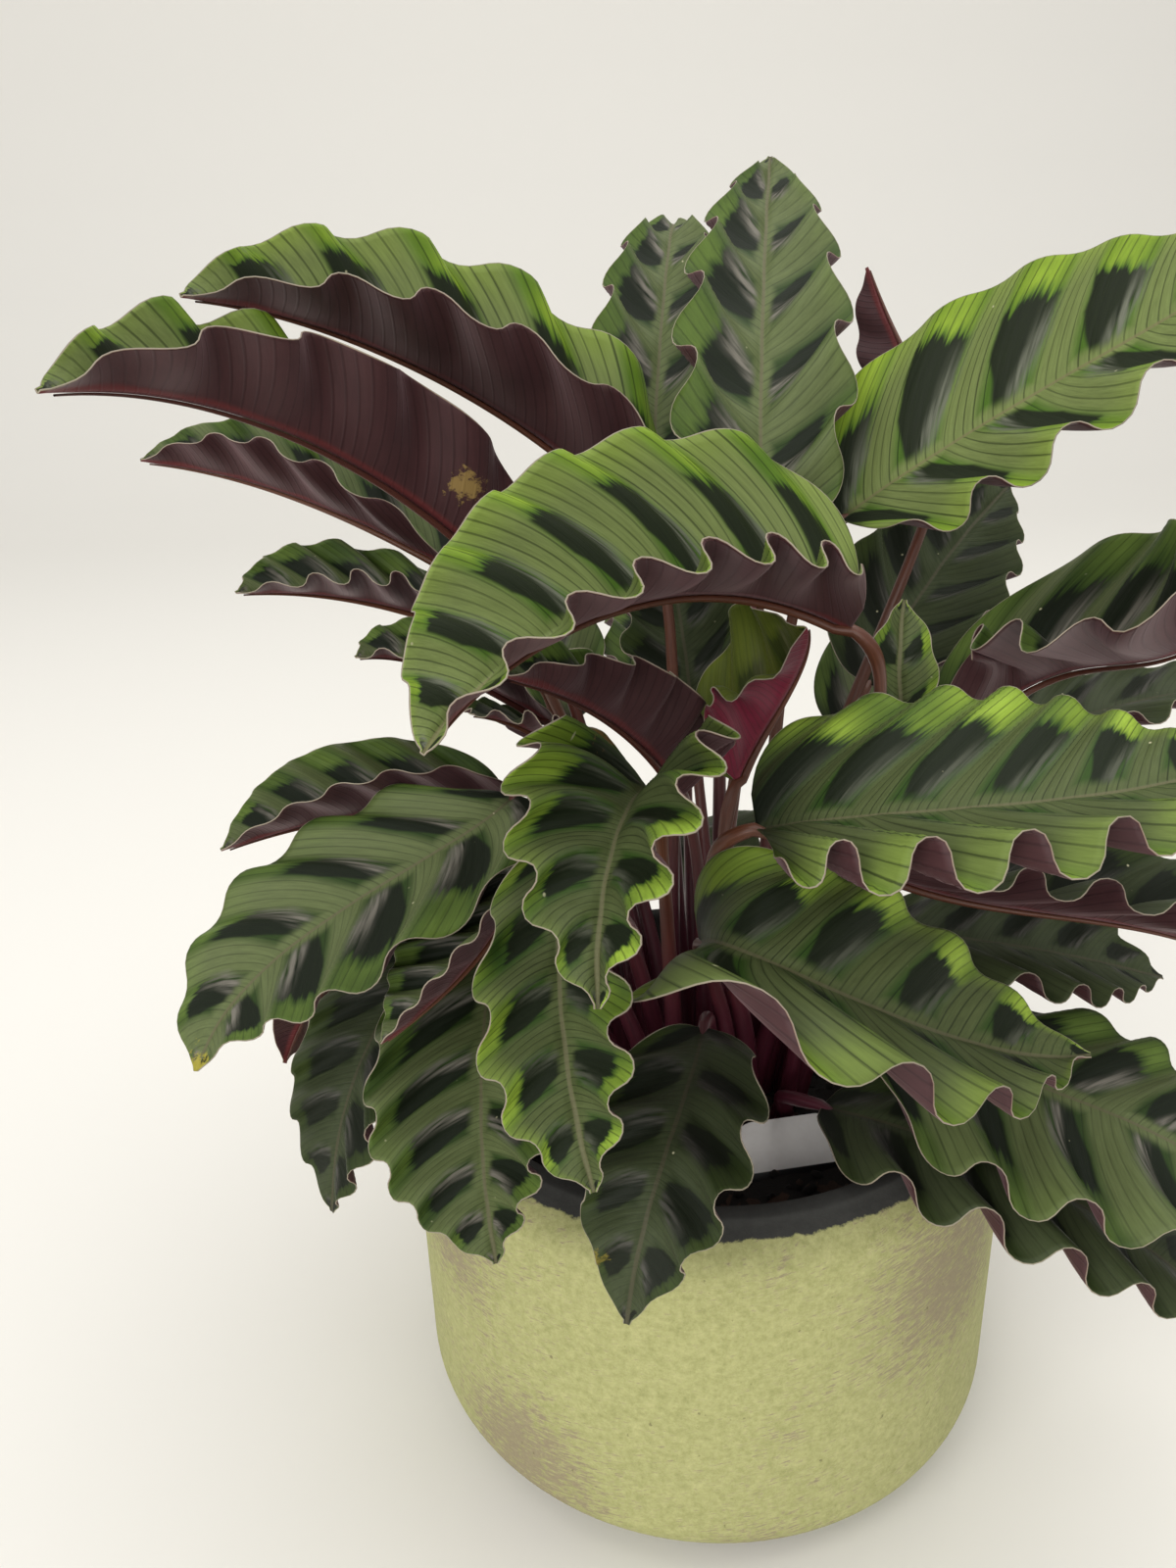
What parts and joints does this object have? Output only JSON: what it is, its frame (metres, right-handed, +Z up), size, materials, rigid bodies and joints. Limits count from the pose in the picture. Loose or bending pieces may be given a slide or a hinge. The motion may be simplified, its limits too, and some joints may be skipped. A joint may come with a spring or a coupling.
{
  "type": "potted calathea",
  "caption": "Leafy calathea with waved, blotched green leaves, purple beneath, in a nursery pot inside a round matte green planter; stands on its flat foot.",
  "frame": {"origin": "centre of the planter's flat foot, on the surface that it stands on", "axes": "+Z up; -Y towards the side that the plant shows to a viewer; +X to that viewer's right"},
  "size_m": [0.3429, 0.3019, 0.3785],
  "materials": {
    "planter": "matte lime-green paint rubbed thin over grey-brown, with a bare dark grey rim",
    "nursery_plastic": "thin black polypropylene, slightly dusty",
    "potting_soil": "dark crumbly peat and bark",
    "label_card": "plain white card with a black lower half, nothing printed",
    "stem_skin": "red-brown, slightly glossy, with fine lengthwise ribs",
    "leaf_fresh": "satin light yellow-green with dark blotches along the veins, purple beneath",
    "leaf_young": "satin yellow-green with dark blotches along the veins, purple beneath",
    "leaf_mature": "satin mid green with dark blotches along the veins, purple beneath",
    "leaf_old": "dark olive green with a silvery sheen, purple beneath",
    "leaf_new": "crimson outside and yellow-green inside, still rolled"
  },
  "bodies": {
    "root": {"pot": "planter", "nursery_pot": "nursery_plastic", "soil": "potting_soil", "plant_label": "label_card", "stems": "stem_skin", "leaf_high_left": "leaf_fresh", "leaf_low_left": "leaf_fresh", "leaf_back_left_1": "leaf_mature", "leaf_back_left_2": "leaf_mature", "leaf_back_left_3": "leaf_mature", "leaf_front_arch": "leaf_fresh", "leaf_top_middle": "leaf_mature", "leaf_top_left": "leaf_mature", "leaf_high_right": "leaf_fresh", "leaf_spike": "leaf_mature", "leaf_back_right_dark": "leaf_old", "leaf_mid_right_1": "leaf_mature", "leaf_mid_right_back": "leaf_old", "leaf_front_right": "leaf_young", "leaf_tiny_new": "leaf_young", "leaf_front_middle": "leaf_young", "leaf_front_left": "leaf_young", "leaf_left_front_short": "leaf_mature", "leaf_left_drop": "leaf_mature", "leaf_left_drop_small": "leaf_old", "leaf_left_big": "leaf_mature", "leaf_left_tuck": "leaf_old", "leaf_left_mid": "leaf_mature", "leaf_arch_left": "leaf_mature", "leaf_arch_dark": "leaf_old", "leaf_arch_under": "leaf_old", "leaf_front_right_low": "leaf_young", "leaf_low_right_1": "leaf_mature", "leaf_low_right_2": "leaf_old", "leaf_mid_right_low": "leaf_old", "leaf_mid_right_2": "leaf_old", "leaf_front_drop": "leaf_old", "leaf_red_new": "leaf_new", "leaf_rear_high": "leaf_young", "leaf_rear_left": "leaf_mature", "leaf_rear_middle": "leaf_mature", "leaf_rear_right": "leaf_mature", "leaf_rear_low_left": "leaf_old", "leaf_rear_low": "leaf_old", "leaf_rear_low_right": "leaf_old"}
  },
  "joints": []
}
